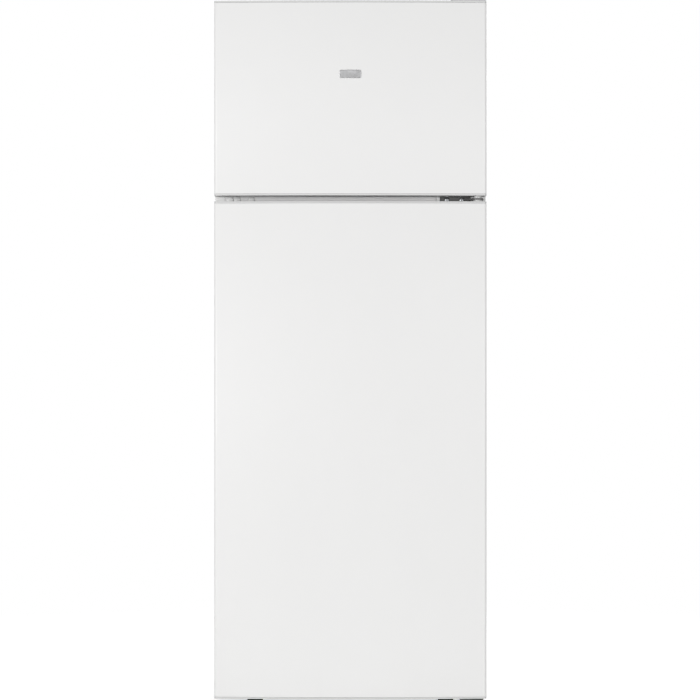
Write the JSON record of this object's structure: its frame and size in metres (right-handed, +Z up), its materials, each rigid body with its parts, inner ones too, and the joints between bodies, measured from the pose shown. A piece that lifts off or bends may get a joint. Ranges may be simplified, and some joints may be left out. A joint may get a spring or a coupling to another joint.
{
  "type": "top freezer refrigerator",
  "caption": "Free-standing white refrigerator with a freezer compartment above, hinged crowned doors, bins, shelves and a crisper drawer.",
  "frame": {"origin": "on the floor under the middle of the whole object's box", "axes": "+X to the hinge side, -Y out of the doors, +Z up"},
  "size_m": [0.55, 0.5486, 1.434],
  "materials": {
    "white_enamel": "semi-gloss white baked enamel",
    "white_plastic": "satin white moulding",
    "liner_plastic": "satin formed polystyrene",
    "clear_plastic": "clear moulding",
    "grey_plastic": "matt",
    "black_plastic": "matt",
    "gasket_rubber": "matt soft seal",
    "foam": "rigid foam, cut skin",
    "glass": "clear, polished edges",
    "galvanised_steel": "galvanised, light spangle",
    "dark_steel": "dark grey coated",
    "black_enamel": "black stoved enamel",
    "copper": "drawn copper",
    "aluminium": "fine brushed"
  },
  "bodies": {
    "cabinet": {"cabinet_shell": "white_enamel", "cabinet_foam": "foam", "freezer_liner": "liner_plastic", "fridge_liner": "liner_plastic", "fridge_liner_base": "liner_plastic", "back_panel": "galvanised_steel", "mullion_rail": "white_enamel", "bottom_rail": "white_enamel", "niche_panel": "galvanised_steel", "compressor_tray": "galvanised_steel", "compressor": "black_enamel", "evaporating_pan": "black_plastic", "drain_tube": "grey_plastic", "filter_drier": "copper", "suction_tube": "copper", "discharge_tube": "copper", "fridge_evaporator": "aluminium", "freezer_evaporator": "aluminium", "condenser_coil": "galvanised_steel", "cord_gland": "black_plastic", "middle_hinge": "dark_steel", "top_hinge": "galvanised_steel", "top_hinge_cover": "white_plastic", "bottom_hinge": "dark_steel", "middle_hinge_screw_1": "galvanised_steel", "middle_hinge_screw_2": "galvanised_steel", "hole_plug_1": "white_plastic", "hole_plug_2": "white_plastic", "hole_plug_3": "white_plastic", "glass_shelf_lower": "glass", "glass_shelf_upper": "glass", "crisper_lid": "glass", "freezer_shelf": "glass", "lamp_housing": "white_plastic", "lamp_cover": "clear_plastic"},
    "fridge_door": {"fridge_door_skin": "white_enamel", "fridge_door_foam": "foam", "fridge_door_liner": "liner_plastic", "fridge_door_top_cap": "white_plastic", "fridge_door_bottom_cap": "white_plastic", "fridge_door_gasket": "gasket_rubber", "bottle_rack": "clear_plastic", "door_balcony_middle": "clear_plastic", "door_balcony_upper": "clear_plastic"},
    "freezer_door": {"freezer_door_skin": "white_enamel", "freezer_door_foam": "foam", "freezer_door_liner": "liner_plastic", "freezer_door_top_cap": "white_plastic", "freezer_door_bottom_cap": "white_plastic", "freezer_door_gasket": "gasket_rubber", "badge_plate": "aluminium", "freezer_door_rack_lower": "clear_plastic", "freezer_door_rack_upper": "clear_plastic"},
    "crisper": {"crisper_drawer": "clear_plastic"},
    "thermostat_dial": {"thermostat_knob": "white_plastic"},
    "light_switch": {"light_switch_plunger": "white_plastic"},
    "foot_left": {"levelling_foot_left": "black_plastic"},
    "foot_right": {"levelling_foot_right": "black_plastic"},
    "roller_left": {"rear_roller_left": "grey_plastic"},
    "roller_right": {"rear_roller_right": "grey_plastic"}
  },
  "joints": [
    {"name": "fridge_door_swing", "type": "hinge", "parent": "cabinet", "child": "fridge_door", "pos_m": [0.257, -0.23825, 0.018], "axis": [0, 0, 1], "range_deg": [0, 130]},
    {"name": "freezer_door_swing", "type": "hinge", "parent": "cabinet", "child": "freezer_door", "pos_m": [0.257, -0.23825, 1.0302], "axis": [0, 0, 1], "range_deg": [0, 130]},
    {"name": "crisper_slide", "type": "slide", "parent": "cabinet", "child": "crisper", "axis": [0, -1, 0], "range_m": [0, 0.15]},
    {"name": "thermostat_turn", "type": "hinge", "parent": "cabinet", "child": "thermostat_dial", "pos_m": [-0.073, -0.05375, 0.97355], "axis": [0, -1, 0], "range_deg": [0, 300]},
    {"name": "light_switch_travel", "type": "slide", "parent": "cabinet", "child": "light_switch", "axis": [0, -1, 0], "range_m": [0, 0.0055]},
    {"name": "foot_left_adjust", "type": "slide", "parent": "cabinet", "child": "foot_left", "axis": [0, 0, -1], "range_m": [0, 0.012]},
    {"name": "foot_right_adjust", "type": "slide", "parent": "cabinet", "child": "foot_right", "axis": [0, 0, -1], "range_m": [0, 0.012]},
    {"name": "roller_left_spin", "type": "hinge", "parent": "cabinet", "child": "roller_left", "pos_m": [-0.2542, 0.23625, 0.014], "axis": [1, 0, 0], "continuous": true},
    {"name": "roller_right_spin", "type": "hinge", "parent": "cabinet", "child": "roller_right", "pos_m": [0.2542, 0.23625, 0.014], "axis": [1, 0, 0], "continuous": true}
  ],
  "couplings": [
    {"joint": "crisper_slide", "follows": "fridge_door_swing", "m_per_rad": 0.066},
    {"joint": "light_switch_travel", "follows": "fridge_door_swing", "m_per_rad": 0.0024}
  ]
}
